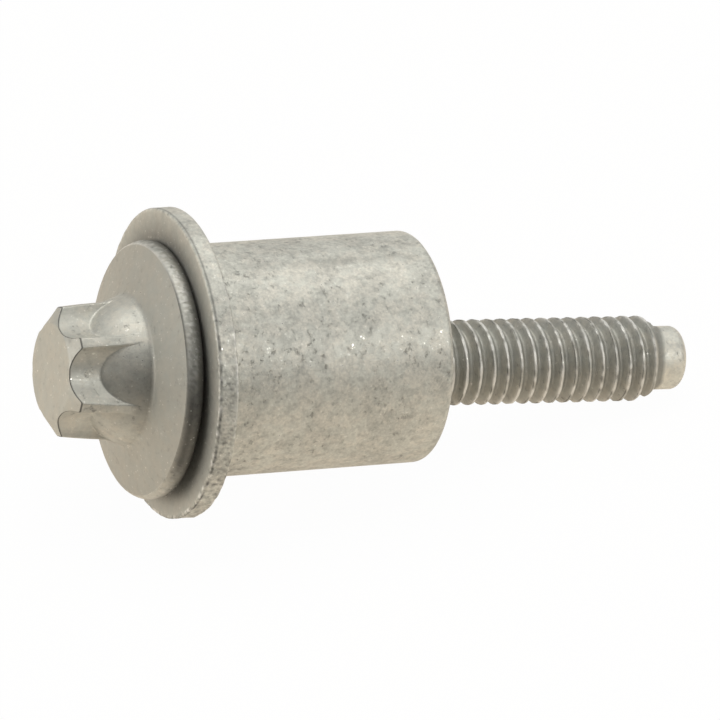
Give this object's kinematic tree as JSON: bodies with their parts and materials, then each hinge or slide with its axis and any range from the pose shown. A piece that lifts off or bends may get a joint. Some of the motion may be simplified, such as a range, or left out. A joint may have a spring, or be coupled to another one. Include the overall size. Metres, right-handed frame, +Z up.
{
  "type": "valve cover bolt",
  "caption": "Flange bolt with an external six-lobe head, a short pilot point and a loose flanged spacer sleeve, lying at rest.",
  "frame": {"origin": "middle of the whole length, on the surface that the part lies on", "axes": "+X from the head towards the tip, +Z up, and the axes of bolt and sleeve both in the XZ plane"},
  "size_m": [0.0454, 0.0204, 0.0204],
  "materials": {
    "bolt_zinc": "dull grey zinc flake coat over forged steel",
    "sleeve_zinc": "dull grey zinc flake coat, lightly mottled"
  },
  "bodies": {
    "sleeve": {"sleeve": "sleeve_zinc"},
    "bolt": {"bolt": "bolt_zinc"}
  },
  "joints": [
    {"name": "bolt_spin", "type": "hinge", "parent": "sleeve", "child": "bolt", "pos_m": [-0.01491, 0, 0.00998], "axis": [0.9784, 0, -0.2068], "continuous": true}
  ]
}
